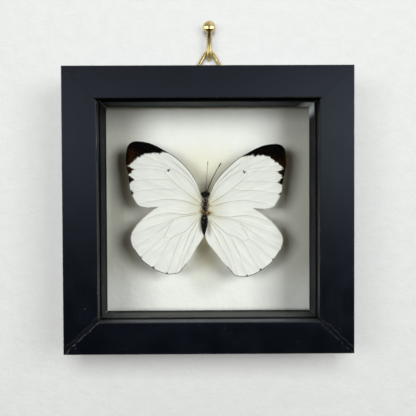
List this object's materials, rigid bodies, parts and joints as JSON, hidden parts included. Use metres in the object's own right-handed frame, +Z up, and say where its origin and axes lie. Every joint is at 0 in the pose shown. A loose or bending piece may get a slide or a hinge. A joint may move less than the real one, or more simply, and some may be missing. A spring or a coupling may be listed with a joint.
{
  "type": "framed butterfly specimen",
  "caption": "Butterfly spread between two glass panes in a square wooden frame, hung by a triangular wire ring from a ball-ended brass wall hook.",
  "frame": {"origin": "where the axis of the wall hook's shank enters the wall", "axes": "+Z up, +Y into the wall, +X to the right as seen from the front; the frame faces -Y"},
  "size_m": [0.12, 0.0493, 0.1441],
  "materials": {
    "black_paint": "satin black paint over wood",
    "clear_glass": "polished float glass",
    "spacer_strip": "matt black stain",
    "point_steel": "bright steel",
    "brass": "polished brass",
    "insect_body": "dull, scaled and hairy",
    "wing_membrane": "matt powdery scales",
    "antenna": "dull",
    "clear_glue": "clear, set glue"
  },
  "bodies": {
    "root": {"rail_top": "black_paint", "rail_bottom": "black_paint", "rail_left": "black_paint", "rail_right": "black_paint", "spacer_top": "spacer_strip", "spacer_bottom": "spacer_strip", "spacer_left": "spacer_strip", "spacer_right": "spacer_strip", "glazing_point_top": "point_steel", "glazing_point_bottom": "point_steel", "glazing_point_left": "point_steel", "glazing_point_right": "point_steel", "front_glass": "clear_glass", "back_glass": "clear_glass", "hanger_strap": "brass", "hanger_screw": "brass", "hanger_ring": "brass", "wall_hook": "brass", "butterfly_body": "insect_body", "forewing_left": "wing_membrane", "forewing_right": "wing_membrane", "hindwing_left": "wing_membrane", "hindwing_right": "wing_membrane", "antenna_left": "antenna", "antenna_right": "antenna", "glue_dot": "clear_glue"}
  },
  "joints": []
}
